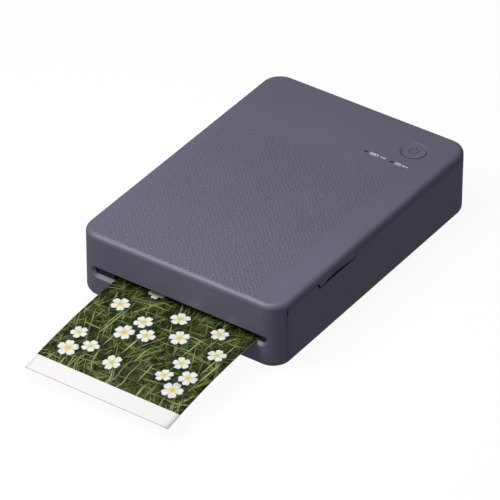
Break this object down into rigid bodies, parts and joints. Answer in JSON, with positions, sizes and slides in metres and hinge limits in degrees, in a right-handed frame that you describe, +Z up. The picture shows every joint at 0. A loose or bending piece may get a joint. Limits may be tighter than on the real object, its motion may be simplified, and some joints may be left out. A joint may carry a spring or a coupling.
{
  "type": "compact photo printer",
  "caption": "Flat portable photo printer with a hinged side cover, a paper hatch below, a round power button and a print coming out of the front slot.",
  "frame": {"origin": "middle of the case, in the plane of the feet", "axes": "+Z up; the front face with the output slot looks along -Y; the side cover is at +X"},
  "size_m": [0.1022, 0.2078, 0.0329],
  "materials": {
    "case_plastic": "fine satin texture",
    "button_plastic": "satin",
    "rubber": "matte",
    "roller_rubber": "ground matte",
    "screw_steel": "black oxide",
    "steel": "zinc plated",
    "spring_steel": "bright",
    "roller_steel": "ground with gritted bands",
    "port_steel": "satin",
    "motor_steel": "drawn can",
    "brass": "machined",
    "paper": "coated paper",
    "print": "glossy photo print with white end bands",
    "black_plastic": "moulded",
    "cassette_plastic": "moulded",
    "gear_plastic": "acetal",
    "spool_plastic": "moulded",
    "lamp": "smoked clear",
    "circuit_board": "solder mask",
    "battery_wrap": "shrink wrap",
    "ribbon": "dye film",
    "used_ribbon": "dye film",
    "ceramic": "glazed ceramic",
    "aluminium": "milled"
  },
  "bodies": {
    "case": {"lower_case": "case_plastic", "top_cover": "case_plastic", "rubber_feet": "rubber", "case_screws": "screw_steel", "door_hinge_pins": "steel", "paper_cover_pins": "steel", "power_switch": "black_plastic", "lamp_windows": "lamp", "main_board": "circuit_board", "board_screws": "screw_steel", "charging_port": "port_steel", "battery": "battery_wrap", "battery_tray": "black_plastic", "left_side_plate": "steel", "right_side_plate": "steel", "paper_guide": "black_plastic", "roller_bushes": "gear_plastic", "drive_motor": "motor_steel", "idler_axles": "steel", "cassette_frame": "cassette_plastic", "ribbon_film": "ribbon", "head_shaft": "steel"},
    "side_cover": {"cassette_door": "case_plastic"},
    "paper_hatch": {"paper_cover": "case_plastic", "press_plate": "steel", "press_springs": "spring_steel", "paper_stack": "paper"},
    "button": {"power_button": "button_plastic"},
    "head": {"thermal_head": "ceramic", "heat_sink": "aluminium", "head_bracket": "steel", "head_springs": "spring_steel"},
    "platen": {"platen_roller": "roller_rubber", "platen_shaft": "steel"},
    "capstan": {"capstan_roller": "roller_steel", "capstan_gear": "gear_plastic"},
    "eject": {"eject_roller": "roller_rubber", "eject_shaft": "steel", "eject_gear": "gear_plastic"},
    "capstan_pinch": {"capstan_pinch": "black_plastic"},
    "eject_pinch": {"eject_pinch": "black_plastic"},
    "pickup": {"pickup_roller": "roller_rubber", "pickup_shaft": "steel", "pickup_gear": "gear_plastic"},
    "pinion": {"motor_pinion": "brass"},
    "first_idler": {"first_idler": "gear_plastic"},
    "second_idler": {"second_idler": "gear_plastic"},
    "transfer_idler": {"transfer_idler": "gear_plastic"},
    "ribbon_idler": {"ribbon_idler": "gear_plastic"},
    "supply_reel": {"supply_spool": "spool_plastic", "supply_ribbon": "ribbon"},
    "takeup_reel": {"takeup_spool": "spool_plastic", "takeup_ribbon": "used_ribbon", "takeup_gear": "gear_plastic"},
    "print": {"printed_sheet": "print"}
  },
  "joints": [
    {"name": "side_cover_hinge", "type": "hinge", "parent": "case", "child": "side_cover", "pos_m": [0.0477, 0, 0.0042], "axis": [0, 1, 0], "range_deg": [0, 90]},
    {"name": "paper_cover_hinge", "type": "hinge", "parent": "case", "child": "paper_hatch", "pos_m": [0.0034, 0.063, 0.0023], "axis": [1, 0, 0], "range_deg": [0, 95]},
    {"name": "power_button_press", "type": "slide", "parent": "case", "child": "button", "axis": [0, 0, -1], "range_m": [0, 0.0004], "stiffness_N_per_m": 1500},
    {"name": "head_lift", "type": "hinge", "parent": "case", "child": "head", "pos_m": [0.0034, -0.035, 0.027], "axis": [-1, 0, 0], "range_deg": [0, 6], "stiffness_Nm_per_rad": 0.6, "springref_deg": -5.73},
    {"name": "print_out", "type": "slide", "parent": "case", "child": "print", "axis": [0, -1, 0], "range_m": [0, 0.022]},
    {"name": "capstan_spin", "type": "hinge", "parent": "case", "child": "capstan", "pos_m": [0.0034, -0.0325, 0.01028], "axis": [1, 0, 0], "continuous": true},
    {"name": "eject_spin", "type": "hinge", "parent": "case", "child": "eject", "pos_m": [0.0034, -0.0515, 0.01028], "axis": [1, 0, 0], "continuous": true},
    {"name": "platen_spin", "type": "hinge", "parent": "case", "child": "platen", "pos_m": [0.0034, -0.042, 0.00828], "axis": [1, 0, 0], "continuous": true},
    {"name": "capstan_pinch_spin", "type": "hinge", "parent": "case", "child": "capstan_pinch", "pos_m": [0.0034, -0.0325, 0.01477], "axis": [1, 0, 0], "continuous": true},
    {"name": "eject_pinch_spin", "type": "hinge", "parent": "case", "child": "eject_pinch", "pos_m": [0.0034, -0.0515, 0.01477], "axis": [1, 0, 0], "continuous": true},
    {"name": "pickup_spin", "type": "hinge", "parent": "case", "child": "pickup", "pos_m": [0.0034, -0.013, 0.01312], "axis": [1, 0, 0], "continuous": true},
    {"name": "motor_spin", "type": "hinge", "parent": "case", "child": "pinion", "pos_m": [0.0034, -0.00425, 0.02223], "axis": [1, 0, 0], "continuous": true},
    {"name": "first_idler_spin", "type": "hinge", "parent": "case", "child": "first_idler", "pos_m": [0.0034, -0.0265, 0.02067], "axis": [1, 0, 0], "continuous": true},
    {"name": "second_idler_spin", "type": "hinge", "parent": "case", "child": "second_idler", "pos_m": [0.0034, -0.0137, 0.0239], "axis": [1, 0, 0], "continuous": true},
    {"name": "transfer_idler_spin", "type": "hinge", "parent": "case", "child": "transfer_idler", "pos_m": [0.0034, -0.042, 0.01542], "axis": [1, 0, 0], "continuous": true},
    {"name": "ribbon_idler_spin", "type": "hinge", "parent": "case", "child": "ribbon_idler", "pos_m": [0.0034, -0.06028, 0.01225], "axis": [1, 0, 0], "continuous": true},
    {"name": "supply_spin", "type": "hinge", "parent": "case", "child": "supply_reel", "pos_m": [0.0034, -0.022, 0.0223], "axis": [1, 0, 0], "continuous": true},
    {"name": "takeup_spin", "type": "hinge", "parent": "case", "child": "takeup_reel", "pos_m": [0.0034, -0.062, 0.0223], "axis": [1, 0, 0], "continuous": true}
  ],
  "couplings": [
    {"joint": "eject_spin", "follows": "capstan_spin", "ratio": 1},
    {"joint": "platen_spin", "follows": "capstan_spin", "ratio": 0.55556},
    {"joint": "capstan_pinch_spin", "follows": "capstan_spin", "ratio": -1.6667},
    {"joint": "eject_pinch_spin", "follows": "capstan_spin", "ratio": -1.6667},
    {"joint": "pickup_spin", "follows": "capstan_spin", "ratio": -1},
    {"joint": "motor_spin", "follows": "capstan_spin", "ratio": -1.3333},
    {"joint": "first_idler_spin", "follows": "capstan_spin", "ratio": -0.66667},
    {"joint": "second_idler_spin", "follows": "capstan_spin", "ratio": 0.8},
    {"joint": "transfer_idler_spin", "follows": "capstan_spin", "ratio": -0.8},
    {"joint": "ribbon_idler_spin", "follows": "capstan_spin", "ratio": -1.1429},
    {"joint": "supply_spin", "follows": "capstan_spin", "ratio": 0.41667},
    {"joint": "takeup_spin", "follows": "capstan_spin", "ratio": 0.8}
  ]
}
